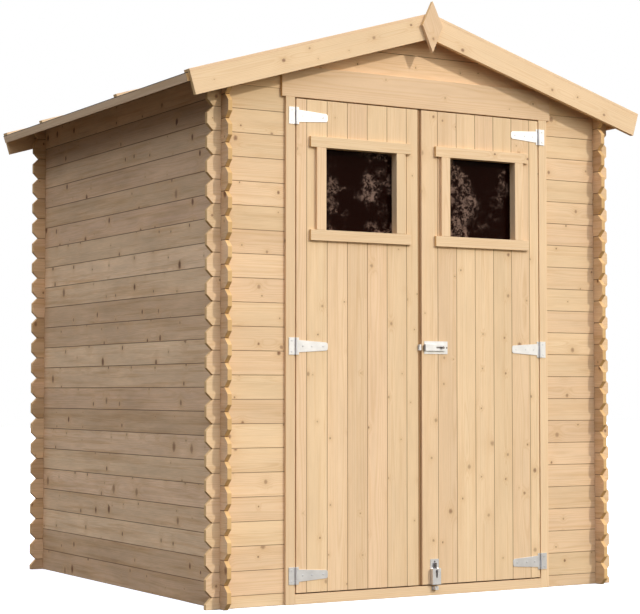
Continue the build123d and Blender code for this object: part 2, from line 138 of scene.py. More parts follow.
class ShedRoof(bpy.types.PropertyGroup):
    """The felt and the glass."""
    laps: bpy.props.IntProperty(
        name="Felt Strips", description="Strips of felt on each slope", default=3, min=1)
    lap_width: length_setting("Lap", "How far one strip of felt covers the next", 0.08, 0.0)
    lap_height: length_setting("Lap Height", "Thickness of one strip of felt", 0.0008, 0.0001)
    felt: colour_setting("Felt", "Colour of the mineral felt", (0.062, 0.059, 0.054))
    # The glass colour is near black: painted shade for the dark inside of the shed behind the glass
    glass: colour_setting("Glass", "Tint of the window glass", (0.0095, 0.0022, 0.0012))


class ShedStudio(bpy.types.PropertyGroup):
    """The camera and the light."""
    eye: bpy.props.FloatVectorProperty(
        name="Camera Place", description="Where the camera stands", subtype="XYZ", unit="LENGTH",
        size=3, default=(-3.8762, -6.7022, 0.7932))
    heading: bpy.props.FloatProperty(
        name="Heading", description="Angle of the view from +Y towards +X", subtype="ANGLE",
        default=math.radians(30.397))
    pitch: bpy.props.FloatProperty(
        name="Pitch", description="Angle of the view above level", subtype="ANGLE",
        default=math.radians(2.720))
    lens: bpy.props.FloatProperty(
        name="Lens", description="Focal length of the camera in millimetres", default=100.254,
        min=1.0)
    sun_path: bpy.props.FloatVectorProperty(
        name="Key Light Path", description="The way the key light travels", subtype="DIRECTION",
        size=3, default=(-0.52, 0.90, -0.57))
    sun_strength: bpy.props.FloatProperty(
        name="Key Light", description="Strength of the key light", default=1.40, min=0.0)
    sun_softness: bpy.props.FloatProperty(
        name="Key Light Softness", description="Angle over which the key light is spread",
        subtype="ANGLE", default=math.radians(2.0))
    high_light: light_setting(
        "Soft Light Above", "Colour of the soft light from above", (1.44, 1.52, 1.84))
    low_light: light_setting(
        "Soft Light Around", "Colour of the soft light from the sides", (0.12, 0.12, 0.135))
    front_light: light_setting(
        "Soft Light in Front", "Colour of the soft light from the front", (1.52, 1.42, 1.16))
    fill_place: bpy.props.FloatVectorProperty(
        name="Front Light Place", description="Where the soft light in front comes from",
        subtype="DIRECTION", size=3, default=(0.40, -0.90, 0.17))
    floor_size: length_setting("Floor Size", "Length of a side of the floor", 60.0, 1.0)


PROPERTY_GROUPS = {
    "shed_timber": ShedTimber,
    "shed_hardware": ShedHardware,
    "shed_roof": ShedRoof,
    "shed_studio": ShedStudio,
}


# Node graphs
SWING_LEAN = (1.0, 1.05, 1.1)


class Wire:
    """A socket of a node graph; sums and products of wires add Math nodes."""

    def __init__(self, graph, socket):
        self.graph = graph
        self.socket = socket

    def math(self, operation, *others):
        """The result of a Math node on this wire and others."""
        return self.graph.make(self.graph.math_node, {"operation": operation},
                               dict(enumerate((self,) + others)))

    def __add__(self, other):
        return self.math("ADD", other)

    __radd__ = __add__

    def __sub__(self, other):
        return self.math("SUBTRACT", other)

    def __rsub__(self, other):
        return self.graph.make(self.graph.math_node, {"operation": "SUBTRACT"}, {0: other, 1: self})

    def __mul__(self, other):
        return self.math("MULTIPLY", other)

    __rmul__ = __mul__

    def __truediv__(self, other):
        return self.math("DIVIDE", other)

    def __rtruediv__(self, other):
        return self.graph.make(self.graph.math_node, {"operation": "DIVIDE"}, {0: other, 1: self})

    def __gt__(self, other):
        return self.math("GREATER_THAN", other)

    def __lt__(self, other):
        return self.math("LESS_THAN", other)

    def __abs__(self):
        return self.math("ABSOLUTE")

    def sine(self):
        return self.math("SINE")

    def root(self):
        return self.math("SQRT")

    def power(self, exponent):
        return self.math("POWER", exponent)

    def exp(self):
        return self.math("EXPONENT")


class Graph:
    """A node tree that is filled through one method."""
    math_node = "ShaderNodeMath"

    def __init__(self, tree):
        self.tree = tree

    def make(self, kind, settings=None, inputs=None, output=0):
        """Adds a node, sets its settings first and then its sockets, and gives one output."""
        node = self.tree.nodes.new(kind)
        for name, value in (settings or {}).items():
            setattr(node, name, value)
        for key, value in (inputs or {}).items():
            if isinstance(value, Wire):
                self.tree.links.new(value.socket, node.inputs[key])
            else:
                node.inputs[key].default_value = value
        if not len(node.outputs):
            return None
        return Wire(self, node.outputs[output])

    def split(self, vector):
        """The three numbers of a vector."""
        first = self.make("ShaderNodeSeparateXYZ", inputs={0: vector})
        return [Wire(self, socket) for socket in first.socket.node.outputs]

    def join(self, x, y, z):
        """A vector from three numbers or wires."""
        return self.make("ShaderNodeCombineXYZ", inputs={0: x, 1: y, 2: z})

    def blend(self, factor, first, second):
        """A colour between two colours."""
        return self.make("ShaderNodeMix", {"data_type": "RGBA"},
                         {0: factor, 6: first, 7: second}, 2)

    def tinted(self, colour, factor, tint):
        """A colour multiplied by a tint."""
        return self.make("ShaderNodeMix", {"data_type": "RGBA", "blend_type": "MULTIPLY"},
                         {0: factor, 6: colour, 7: tint}, 2)

    def swing(self, factor, amount):
        """A grey tint that runs as far below white as above it."""
        dark = [1 - amount * lean for lean in SWING_LEAN]
        return self.blend(factor, opaque(dark), opaque([1 + amount] * 3))

    def noise(self, vector, scale, detail=2.0, roughness=0.5):
        """A soft random number at each place."""
        return self.make("ShaderNodeTexNoise", {"noise_dimensions": "3D"}, {
            "Vector": vector, "Scale": scale, "Detail": detail, "Roughness": roughness}, "Fac")

    def ease(self, value, low, high):
        """0 below low and 1 above high, smooth between them."""
        return self.make("ShaderNodeMapRange", {"interpolation_type": "SMOOTHSTEP"},
                         {"Value": value, "From Min": low, "From Max": high})

    def attribute(self, name, output="Vector"):
        """A named attribute of the mesh."""
        return self.make("ShaderNodeAttribute", {"attribute_name": name}, output=output)


def opaque(colour):
    """A colour of three numbers with full alpha."""
    return (*colour, 1.0)


def new_material(name, settings):
    """An empty material with a Principled shader whose fixed sockets are set."""
    material = bpy.data.materials.new(name)
    material.use_nodes = True
    shader = material.node_tree.nodes["Principled BSDF"]
    for socket, value in settings.items():
        shader.inputs[socket].default_value = value
    return material, Graph(material.node_tree), shader


def plug(graph, shader, wires):
    """Links wires to the named sockets of a shader."""
    for socket, wire in wires.items():
        graph.tree.links.new(wire.socket, shader.inputs[socket])


# Timber: each board carries its grain coordinates, half sizes and tint as attributes
KNOT_CELL = (0.150, 0.080)
KNOT_SCATTER = 0.95
KNOT_LEAST = 0.0028
KNOT_EDGE = (0.55, 1.1)
KNOT_CORE = (0.3, 0.7)
KNOT_FREE_RIM = (0.0008, 0.0030)
KNOT_WOBBLE = 160.0
HALO_FALL = -0.12
HALO_BEND = 0.007
CORE_SHADE = 0.42
RING_PITCH = 0.0046
RING_RIPPLE = 0.0011
RING_SHARPNESS = 2.6
PITH_DEPTH = 0.016
GROOVE_REACH = (0.0005, 0.0021)
STREAK_EDGE = (0.46, 0.70)
LIGHT_BOARD = (1.06, 1.055, 1.05)
BOARD_SPREAD = (0.074, 0.086, 0.102)
WOOD_BUMP = {"Strength": 0.35, "Distance": 0.0006}

# For each kind of timber: how dark its joints are, the share of places that hold a knot, the
# radius of the largest knot, how lively the grain is, how long the knots are drawn, a tint
# over everything, and how dark the knots are. The tint paints shade on the closing lath and
# light on the gable boards, and the side boards' darker, livelier grain is partly painted shade
TIMBERS = {
    # The side boards are a darker, livelier copy of the wall boards, partly their own variety and
    # partly painted shade
    "spruce_side_boards_painted_shade": (0.90, 0.66, 0.0165, 1.9, 1.45, (1.0, 0.985, 0.985), 1.0),
    "spruce_wall_boards": (0.70, 0.60, 0.0120, 0.95, 1.1, (1.0, 1.0, 1.0), 0.8),
    # The gable boards are tinted lighter: painted light under the overhanging roof and barge boards
    "spruce_gable_boards_painted_light": (0.70, 0.60, 0.0110, 0.9, 1.1, (1.10, 1.09, 1.08), 1.0),
    # The closing lath is tinted dark: painted shade in the gap where the doors meet
    "spruce_lath_painted_shade": (0.0, 0.30, 0.005, 0.6, 0.8, (0.50, 0.42, 0.32), 1.0),
    "spruce_boards": (0.70, 0.54, 0.0095, 0.8, 0.9, (1.0, 1.0, 1.0), 0.62),
    "spruce_trim": (0.0, 0.36, 0.0070, 0.6, 0.8, (1.0, 1.0, 1.0), 0.7),
}


def stretched(g, place, scales, shifts):
    """Grain coordinates scaled along, across and through a board, and shifted for each board."""
    return g.join(*(part * scale + shift for part, scale, shift in zip(place, scales, shifts)))


def knot_masks(g, grain, tint, knots, largest, spike):
    """Where a knot, the halo round it and its core are, and how dark that knot is."""
    along, across, _ = g.split(grain)
    cell = g.join(along / KNOT_CELL[0] + tint[0] * 91.0,
                  across / KNOT_CELL[1] + tint[1] * 57.0, 0.0)
    spots = g.make("ShaderNodeTexVoronoi", {"voronoi_dimensions": "2D", "feature": "F1"},
                   {"Vector": cell, "Scale": 1.0, "Randomness": KNOT_SCATTER}, "Position")
    pick, size, depth = g.split(Wire(g, spots.socket.node.outputs["Color"]))
    offset = g.make("ShaderNodeVectorMath", {"operation": "SUBTRACT"}, {0: cell, 1: spots})
    off_along, off_across, _ = g.split(offset)
    off_along = off_along * KNOT_CELL[0]
    off_across = off_across * KNOT_CELL[1]
    wobble = 0.7 + 0.6 * g.noise(grain, KNOT_WOBBLE, 1.0)
    distance = (off_along * off_along * spike + off_across * off_across / spike).root() * wobble
    radius = KNOT_LEAST + size * size * largest
    end = g.attribute("end", "Fac")
    half = g.split(g.attribute("half"))
    there = (pick < knots) * (1.0 - end) * g.ease(half[1] - abs(across), *KNOT_FREE_RIM)
    knot = (1.0 - g.ease(distance / radius, *KNOT_EDGE)) * there
    halo = (distance * distance / (radius * radius) * HALO_FALL).exp() * there
    core = (1.0 - g.ease(distance / radius, *KNOT_CORE)) * there
    return knot, halo, core, depth


def late_wood(g, place, tint, halo):
    """The dark part of the growth rings, which bend round the knots."""
    along, across, deep = place
    r1, r2, r3 = tint
    far = stretched(g, place, (1.1, 2.0, 1.0), (r1 * 17.0, r2 * 11.0, r3 * 13.0))
    wander = g.noise(far, 1.0, 2.0) - 0.5
    pith_across = across - (r2 - 0.5) * 0.07 + wander * 0.05
    pith_deep = deep + PITH_DEPTH + r3 * 0.05 + wander * 0.03
    ring = (pith_across * pith_across + pith_deep * pith_deep).root() + halo * HALO_BEND
    ripple = g.noise(stretched(g, place, (14.0, 160.0, 160.0), (r1 * 7.0, 0.0, 0.0)), 1.0, 2.0)
    phase = (ring + ripple * RING_RIPPLE) * (2 * math.pi / RING_PITCH)
    return (phase.sine() * 0.5 + 0.5).power(RING_SHARPNESS)


def spruce(name, joint, knots, largest, contrast, spike, shade, dark):
    """Planed softwood with growth rings, fibres, knots and dark joints."""
    timber = bpy.context.scene.shed_timber
    material, g, shader = new_material(name, {"Specular IOR Level": 0.35})
    grain = g.attribute("grain")
    place = g.split(grain)
    across = place[1]
    tint = g.split(g.attribute("tint"))
    r1, r2, r3 = tint
    end = g.attribute("end", "Fac")
    knot, halo, core, depth = knot_masks(g, grain, tint, knots, largest, spike)
    late = late_wood(g, place, tint, halo)
    fibre, streak, patch = (
        g.noise(stretched(g, place, scales, shifts), 1.0, 3.0, 0.6) for scales, shifts in (
            ((16.0, 700.0, 700.0), (r3 * 9.0, 0.0, 0.0)),
            ((2.2, 55.0, 55.0), (r2 * 23.0, r1 * 31.0, 0.0)),
            ((3.0, 14.0, 14.0), (r1 * 41.0, 0.0, r2 * 5.0))))

    colour = g.blend(r3 * 0.9, opaque(timber.pale), opaque(timber.rosy))
    darker = late * 0.34 + g.ease(streak, *STREAK_EDGE) * 0.34 * contrast
    colour = g.blend(darker, colour, opaque(timber.warm))
    colour = g.tinted(colour, 1.0, g.swing(patch, contrast * 0.15))
    colour = g.tinted(colour, 1.0, g.swing(fibre, contrast * 0.12))
    dark_board = [1.0 - part * contrast * contrast for part in BOARD_SPREAD]
    colour = g.tinted(colour, 1.0, g.blend(r1, opaque(dark_board), opaque(LIGHT_BOARD)))
    colour = g.blend(halo * (0.26 + 0.16 * contrast), colour, opaque(timber.warm))
    colour = g.blend(knot * (0.45 + depth * 0.35) * dark, colour, opaque(timber.knot))
    heart = opaque([part * CORE_SHADE for part in timber.knot])
    colour = g.blend(core * (0.18 + depth * 0.52) * dark, colour, heart)
    colour = g.blend(end * 0.72, colour, opaque(timber.end_grain))
    # The tint over everything: painted shade on the closing lath, painted light on the gable boards
    colour = g.tinted(colour, 1.0, opaque(shade))
    if joint:
        half = g.split(g.attribute("half"))
        below, above, _ = g.split(g.attribute("joined"))
        joined = below + (above - below) * (across > 0.0)
        groove = (1.0 - g.ease(half[1] - abs(across), *GROOVE_REACH)) * joined
        colour = g.blend(groove * joint, colour, opaque(timber.groove))
    rough = 0.60 + fibre * 0.14 + end * 0.12 - knot * 0.16
    height = fibre * 0.5 + late * 0.35 + knot * 0.3
    bump = g.make("ShaderNodeBump", inputs={**WOOD_BUMP, "Height": height})
    plug(g, shader, {"Base Color": colour, "Roughness": rough, "Normal": bump})
    return material


GRANULE_SCALE = 520.0
GRANULE_SHADES = (0.45, 2.1)
GRANULE_BUMP = {"Strength": 0.6, "Distance": 0.0008}
CLOUD_TINTS = ((0.62, 0.63, 0.64), (1.38, 1.35, 1.30))
SPECK_TINTS = ((0.70, 0.70, 0.70), (1.35, 1.34, 1.30))


def mineral_felt():
    """Bitumen felt faced with fine slate granules."""
    roof = bpy.context.scene.shed_roof
    material, g, shader = new_material("mineral_felt", {"Specular IOR Level": 0.3})
    place = g.make("ShaderNodeTexCoord", output="Object")
    spots = g.make("ShaderNodeTexVoronoi", {"voronoi_dimensions": "3D", "feature": "F1"},
                   {"Vector": place, "Scale": GRANULE_SCALE}, "Color")
    bright, _, _ = g.split(spots)
    cloud = g.noise(place, 3.5, 4.0)
    speck = g.ease(g.noise(place, 75.0, 4.0, 0.7), 0.3, 0.7)
    dark, light = (opaque([part * shade for part in roof.felt]) for shade in GRANULE_SHADES)
    colour = g.blend(bright, dark, light)
    colour = g.tinted(colour, 1.0, g.blend(cloud, *map(opaque, CLOUD_TINTS)))
    colour = g.tinted(colour, 1.0, g.blend(speck, *map(opaque, SPECK_TINTS)))
    bump = g.make("ShaderNodeBump", inputs={**GRANULE_BUMP, "Height": bright})
    plug(g, shader, {"Base Color": colour, "Roughness": 0.80 + bright * 0.15, "Normal": bump})
    return material


SMEAR_SHADES = (0.80, 1.15)
ZINC_BUMP = {"Strength": 0.12, "Distance": 0.0003}


def zinc_steel(name, plating):
    """Pressed steel with a zinc plating."""
    material, g, shader = new_material(name, {"Metallic": 0.8, "IOR": 1.6})
    place = g.make("ShaderNodeTexCoord", output="Object")
    spangle = g.noise(place, 260.0, 3.0)
    smear = g.noise(place, 30.0, 3.0)
    dark, light = (opaque([min(1.0, part * shade) for part in plating]) for shade in SMEAR_SHADES)
    colour = g.blend(smear, dark, light)
    bump = g.make("ShaderNodeBump", inputs={**ZINC_BUMP, "Height": spangle})
    plug(g, shader, {"Base Color": colour, "Roughness": 0.34 + spangle * 0.16, "Normal": bump})
    return material


# A painted reflection of foliage on the glass, strongest towards the middle of the shed
PAINTED_REFLECTION_COLOUR = (0.40, 0.26, 0.19)
PAINTED_REFLECTION_STRENGTH = 0.52
CLEAR_MIDDLE = (0.17, 0.36)


def window_glass():
    """Sheet glass painted near black and mostly opaque, a painted shade for the dark inside of the
    closed shed, with a faint mottled painted reflection of foliage.
    """
    roof = bpy.context.scene.shed_roof
    # A near-black base colour and a high alpha paint the shade of the shed's dark inside
    material, g, shader = new_material("glass_painted_dark_within", {"IOR": 1.5, "Specular IOR Level": 0.02})
    place = g.make("ShaderNodeTexCoord", output="Object")
    x, _, _ = g.split(place)
    # Leafy patches that paint a reflection of foliage, gathered towards the middle of the shed
    inner = 1.0 - g.ease(abs(x), *CLEAR_MIDDLE)
    cloud = g.ease(g.noise(place, 9.0, 3.0, 0.6) + inner * 0.17, 0.56, 0.72)
    leaf = g.ease(g.noise(place, 48.0, 5.0, 0.75), 0.42, 0.62)
    painted_reflection = cloud * leaf
    colour = g.blend(painted_reflection * PAINTED_REFLECTION_STRENGTH, opaque(roof.glass), opaque(PAINTED_REFLECTION_COLOUR))
    plug(g, shader, {"Base Color": colour, "Roughness": 0.06 + painted_reflection * 0.10,
                     "Alpha": 0.88 + painted_reflection * 0.08})
    return material


FLOOR_WHITE = (0.86, 0.86, 0.86)
FLOOR_GLOW = 0.55
FLOOR_BOUNCE = (0.07, 0.065, 0.055)


def pale_floor():
    """A pale floor that throws little light up under the eaves."""
    material, g, shader = new_material("studio_floor", {
        "Base Color": opaque(FLOOR_WHITE), "Roughness": 0.9, "Specular IOR Level": 0.0,
        "Emission Color": opaque((1.0, 1.0, 1.0)), "Emission Strength": FLOOR_GLOW})
    seen = g.make("ShaderNodeLightPath", output="Is Camera Ray")
    dull = g.make("ShaderNodeBsdfDiffuse", inputs={"Color": opaque(FLOOR_BOUNCE)})
    both = g.make("ShaderNodeMixShader", inputs={0: seen, 1: dull, 2: Wire(g, shader.outputs[0])})
    output = material.node_tree.nodes["Material Output"]
    material.node_tree.links.new(both.socket, output.inputs["Surface"])
    return material


# Meshes
def merged_copy(node):
    """The solids of a CAD node as a clean mesh: corners merged, flat faces whole."""
    bm = bmesh.new()
    bm.from_mesh(frame["nodes"][node].data)
    bmesh.ops.remove_doubles(bm, verts=bm.verts, dist=MERGE_DISTANCE)
    bmesh.ops.dissolve_limit(bm, angle_limit=FLAT_ANGLE, verts=bm.verts, edges=bm.edges)
    return bm


def solids_of(node):
    """One small mesh for each solid of a node, from the lowest to the highest."""
    whole = merged_copy(node)
    whole.verts.ensure_lookup_table()
    whole.faces.index_update()
    label = [-1] * len(whole.verts)
    groups = []
    for start in whole.verts:
        if label[start.index] >= 0:
            continue
        stack = [start]
        label[start.index] = len(groups)
        members = []
        while stack:
            vert = stack.pop()
            members.append(vert)
            for edge in vert.link_edges:
                other = edge.other_vert(vert)
                if label[other.index] < 0:
                    label[other.index] = len(groups)
                    stack.append(other)
        groups.append(members)
    solids = []
    for members in groups:
        part = bmesh.new()
        copies = {vert.index: part.verts.new(vert.co) for vert in members}
        faces = {face.index: face for vert in members for face in vert.link_faces}
        for _, face in sorted(faces.items()):
            part.faces.new([copies[vert.index] for vert in face.verts])
        part.normal_update()
        solids.append(part)
    whole.free()
    solids.sort(key=lambda part: tuple(round(value, 4) for value in middle_of(part).zxy))
    return solids


def middle_of(part):
    """The middle of the box round a mesh."""
    low, high = box_of(part)
    return (low + high) / 2


def box_of(part):
    """The lowest and highest corner of a mesh."""
    points = np.array([vert.co for vert in part.verts])
    return Vector(points.min(0)), Vector(points.max(0))


def board_axes(part):
    """Unit vectors along, across and through a board, from its longest edge and largest face."""
    longest = max(part.edges, key=lambda edge: edge.calc_length())
    along = (longest.verts[1].co - longest.verts[0].co).normalized()
    if sum(along) < 0:
        along = -along
    sides = [face for face in part.faces if abs(face.normal.dot(along)) < 0.1]
    broad = max(sides, key=lambda face: (round(face.calc_area(), 6),
                                         tuple(round(value, 3) for value in face.normal)))
    through = (broad.normal - along * broad.normal.dot(along)).normalized()
    return along, through.cross(along), through


def holds(box, point):
    """Whether a point lies in a box of two corners."""
    return all(low <= value <= high for low, value, high in zip(box[0], point, box[1]))


def meets(part, across, boxes):
    """For the lower and the upper side of a board, 1 where another board lies against it."""
    low, high = box_of(part)
    middle, half = (low + high) / 2, abs((high - low).dot(across)) / 2
    probes = [middle + across * way * (half + JOINT_PROBE) for way in (-1, 1)]
    return [float(any(holds(box, probe) for box in boxes)) for probe in probes]


def ease_edges(part, width, segments=2):
    """Rounds the sharp edges of a mesh a little."""
    sharp = [edge for edge in part.edges if len(edge.link_faces) == 2
             and edge.calc_face_angle(0.0) > SHARP_ANGLE]
    if width > 0 and sharp:
        bmesh.ops.bevel(part, geom=sharp, offset=width, segments=segments, profile=0.5,
                        affect="EDGES", clamp_overlap=True)
    part.normal_update()


class Timber:
    """Collects boards into one mesh with the attributes that the timber's material reads."""

    def __init__(self, seed):
        self.points, self.faces = [], []
        self.grain, self.half, self.tint, self.end, self.joined = [], [], [], [], []
        self.random = random.Random(seed)

    def add(self, part, width, boxes=None):
        """Adds a board; boxes are those of its neighbours, or None where both sides are joined."""
        along, across, through = board_axes(part)
        joined = [1.0, 1.0, 0.0] if boxes is None else [*meets(part, across, boxes), 0.0]
        ease_edges(part, width)
        part.verts.index_update()
        points = np.array([vert.co for vert in part.verts])
        axes = np.array([along, across, through])
        local = points @ axes.T
        low, high = local.min(0), local.max(0)
        start = len(self.points)
        self.points.extend(points.tolist())
        self.faces.extend([[start + vert.index for vert in face.verts] for face in part.faces])
        self.grain.extend((local - (low + high) / 2).tolist())
        self.half.extend([((high - low) / 2).tolist()] * len(points))
        self.joined.extend([joined] * len(points))
        tint = [self.random.random() for _ in range(3)]
        self.tint.extend([tint] * len(points))
        self.end.extend([1.0 if abs(face.normal.dot(along)) > 0.5 else 0.0 for face in part.faces])
        part.free()

    def mesh(self, name, tinted=True):
        """The boards as one mesh; without tints where a rule gives each board its own."""
        mesh = bpy.data.meshes.new(name)
        mesh.from_pydata(self.points, [], self.faces)
        vectors = {"grain": self.grain, "half": self.half, "joined": self.joined}
        if tinted:
            vectors["tint"] = self.tint
        for key, values in vectors.items():
            layer = mesh.attributes.new(key, "FLOAT_VECTOR", "POINT")
            layer.data.foreach_set("vector", np.array(values, np.float32).ravel())
        layer = mesh.attributes.new("end", "FLOAT", "FACE")
        layer.data.foreach_set("value", np.array(self.end, np.float32))
        return mesh


def body_of(node):
    """The body that a CAD node moves with."""
    return frame["nodes"][node]["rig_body"]


def place_piece(name, mesh, material, body, replaced=()):
    """Puts a finished mesh in the scene on its body, in place of the CAD nodes it stands for."""
    piece = bpy.data.objects.new(name, mesh)
    bpy.context.scene.collection.objects.link(piece)
    if material is not None:
        mesh.materials.clear()
        mesh.materials.append(material)
    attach(piece, body)
    if replaced:
        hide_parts(*replaced)
    return piece


def refinish(node, material):
    """Gives a CAD node that keeps its shape a better material."""
    for slot in node.material_slots:
        slot.material = material


def shared_material(name, build):
    """A material that is built once and then used again."""
    found = bpy.data.materials.get(name)
    return found if found else build()


def timber_finish(kind):
    """The finish of a kind of timber."""
    return shared_material(kind, lambda: spruce(kind, *TIMBERS[kind]))


def steel():
    """The bright plating of the hinges and cases."""
    zinc = bpy.context.scene.shed_hardware.zinc
    return shared_material("bright_zinc", lambda: zinc_steel("bright_zinc", zinc))


def dark_steel():
    """The darker plating of the bolts, screws and nails; on the bolts it also paints the shade in
    their slots.
    """
    zinc = bpy.context.scene.shed_hardware.dark_plating
    return shared_material("dark_zinc", lambda: zinc_steel("dark_zinc", zinc))


def timber_seed(node):
    """A seed for a node's boards that doesn't change from run to run."""
    letters = sum(ord(letter) * place for place, letter in enumerate(node, 1))
    return bpy.context.scene.shed_timber.seed * 1000 + letters


def dress_timber(nodes, material, width):
    """Stands a finished piece in for each of these timber nodes."""
    for node in nodes:
        timber = Timber(timber_seed(node))
        parts = solids_of(node)
        boxes = [box_of(part) for part in parts]
        for part in parts:
            timber.add(part, width, boxes)
        name = node + "_timber"
        place_piece(name, timber.mesh(name), material, body_of(node), [node])


# Geometry node trees
class Rule(Graph):
    """A geometry node tree with named inputs."""

    def __init__(self, name, inputs):
        super().__init__(bpy.data.node_groups.new(name, "GeometryNodeTree"))
        face = self.tree.interface
        for key, kind in {"Geometry": "NodeSocketGeometry", **inputs}.items():
            face.new_socket(key, in_out="INPUT", socket_type=kind)
        face.new_socket("Geometry", in_out="OUTPUT", socket_type="NodeSocketGeometry")
        self.entry = self.tree.nodes.new("NodeGroupInput")

    def given(self, name):
        """One of the tree's inputs."""
        return Wire(self, self.entry.outputs[name])

    def finish(self, geometry):
        """Ends the tree with real meshes that have their material."""
        real = self.make("GeometryNodeRealizeInstances", inputs={"Geometry": geometry})
        done = self.make("GeometryNodeSetMaterial", inputs={
            "Geometry": real, "Material": self.given("Material")})
        self.make("NodeGroupOutput", inputs={"Geometry": done})
        return self.tree


def course_rule():
    """Equal boards stacked one above the other, each with a tint of its own."""
    found = bpy.data.node_groups.get("course_stack")
    if found:
        return found
    rule = Rule("course_stack", {
        "Board": "NodeSocketObject", "Boards": "NodeSocketInt", "Course Height": "NodeSocketFloat",
        "Seed": "NodeSocketInt", "Material": "NodeSocketMaterial"})
    rise = rule.join(0.0, 0.0, rule.given("Course Height"))
    line = rule.make("GeometryNodeMeshLine", {"mode": "OFFSET", "count_mode": "TOTAL"},
                     {"Count": rule.given("Boards"), "Offset": rise})
    board = rule.make("GeometryNodeObjectInfo", {"transform_space": "ORIGINAL"},
                      {"Object": rule.given("Board")}, "Geometry")
    stack = rule.make("GeometryNodeInstanceOnPoints", inputs={"Points": line, "Instance": board})
    tint = rule.make("FunctionNodeRandomValue", {"data_type": "FLOAT_VECTOR"},
                     {"Seed": rule.given("Seed")})
    stack = rule.make("GeometryNodeStoreNamedAttribute",
                      {"data_type": "FLOAT_VECTOR", "domain": "INSTANCE"},
                      {"Geometry": stack, "Name": "tint", "Value": tint})
    real = rule.make("GeometryNodeRealizeInstances", inputs={"Geometry": stack})
    both = rule.tree.nodes.new("GeometryNodeJoinGeometry")
    rule.tree.links.new(real.socket, both.inputs[0])
    rule.tree.links.new(rule.given("Geometry").socket, both.inputs[0])
    return rule.finish(Wire(rule, both.outputs[0]))


SCREW_SIDES = 14
SCREW_TAPER = 0.72
SCREW_RECESS = 0.9
CROSS_BARS = ((1.15, 0.26), (0.26, 1.15))
NAIL_SIDES = 10
NAIL_TAPER = 0.8


def screw_rule():
    """Screw heads with a cross recess on points that carry a facing direction and a turn."""
    found = bpy.data.node_groups.get("screw_heads")
    if found:
        return found
    rule = Rule("screw_heads", {"Radius": "NodeSocketFloat", "Height": "NodeSocketFloat",
                                "Recess": "NodeSocketFloat", "Material": "NodeSocketMaterial"})
    radius, height, recess = rule.given("Radius"), rule.given("Height"), rule.given("Recess")
    cone = rule.make("GeometryNodeMeshCone", inputs={
        "Vertices": SCREW_SIDES, "Radius Top": radius * SCREW_TAPER, "Radius Bottom": radius,
        "Depth": height}, output="Mesh")
    cuts = []
    for length, width in CROSS_BARS:
        size = rule.join(radius * length, radius * width, height * recess)
        bar = rule.make("GeometryNodeMeshCube", inputs={"Size": size}, output="Mesh")
        lift = rule.join(0.0, 0.0, height)
        cuts.append(rule.make("GeometryNodeTransform", inputs={
            "Geometry": bar, "Translation": lift}))
    head = rule.tree.nodes.new("GeometryNodeMeshBoolean")
    head.operation = "DIFFERENCE"
    rule.tree.links.new(cone.socket, head.inputs[0])
    for cut in cuts:
        rule.tree.links.new(cut.socket, head.inputs[1])
    facing = rule.make("GeometryNodeInputNamedAttribute", {"data_type": "FLOAT_VECTOR"},
                       {"Name": "facing"})
    turn = rule.make("GeometryNodeInputNamedAttribute", {"data_type": "FLOAT"}, {"Name": "turn"})
    spin = rule.make("FunctionNodeAxisAngleToRotation",
                     inputs={"Axis": (0.0, 0.0, 1.0), "Angle": turn})
    aim = rule.make("FunctionNodeAlignRotationToVector", {"axis": "Z"},
                    {"Rotation": spin, "Vector": facing})
    heads = rule.make("GeometryNodeInstanceOnPoints", inputs={
        "Points": rule.given("Geometry"), "Instance": Wire(rule, head.outputs[0]), "Rotation": aim})
    return rule.finish(heads)


def nail_rule():
    """Flat nail heads on points that carry a facing direction."""
    found = bpy.data.node_groups.get("nail_heads")
    if found:
        return found
    rule = Rule("nail_heads", {"Radius": "NodeSocketFloat", "Height": "NodeSocketFloat",
                               "Material": "NodeSocketMaterial"})
    radius, height = rule.given("Radius"), rule.given("Height")
    head = rule.make("GeometryNodeMeshCone", inputs={
        "Vertices": NAIL_SIDES, "Radius Top": radius * NAIL_TAPER, "Radius Bottom": radius,
        "Depth": height}, output="Mesh")
    facing = rule.make("GeometryNodeInputNamedAttribute", {"data_type": "FLOAT_VECTOR"},
                       {"Name": "facing"})
    aim = rule.make("FunctionNodeAlignRotationToVector", {"axis": "Z"}, {"Vector": facing})
    return rule.finish(rule.make("GeometryNodeInstanceOnPoints", inputs={
        "Points": rule.given("Geometry"), "Instance": head, "Rotation": aim}))


def grown(tree, base, inputs):
    """The plain mesh that a geometry node tree makes of a base mesh."""
    host = bpy.data.objects.new("host", base)
    bpy.context.scene.collection.objects.link(host)
    modifier = host.modifiers.new("rule", "NODES")
    modifier.node_group = tree
    for item in tree.interface.items_tree:
        if item.item_type == "SOCKET" and item.in_out == "INPUT" and item.name in inputs:
            modifier[item.identifier] = inputs[item.name]
    host.update_tag()
    bpy.context.view_layer.update()
    graph = bpy.context.evaluated_depsgraph_get()
    mesh = bpy.data.meshes.new_from_object(host.evaluated_get(graph))
    host.modifiers.remove(modifier)
    bpy.data.objects.remove(host)
    return mesh


def stacked_wall(node, first, count, material):
    """A wall whose equal boards are stacked by rule; its other boards are finished one by one."""
    settings = bpy.context.scene.shed_timber
    rest = Timber(timber_seed(node))
    unit = Timber(0)
    for index, part in enumerate(solids_of(node)):
        if index == first:
            unit.add(part, settings.arris)
        elif first < index < first + count:
            part.free()
        else:
            rest.add(part, settings.arris)
    board = bpy.data.objects.new("course_board", unit.mesh("course_board", tinted=False))
    bpy.context.scene.collection.objects.link(board)
    mesh = grown(course_rule(), rest.mesh("other_boards"), {
        "Board": board, "Boards": count, "Course Height": settings.course,
        "Seed": timber_seed(node), "Material": material})
    bpy.data.objects.remove(board)
    mesh.name = node + "_timber"
    place_piece(node + "_timber", mesh, material, body_of(node), [node])


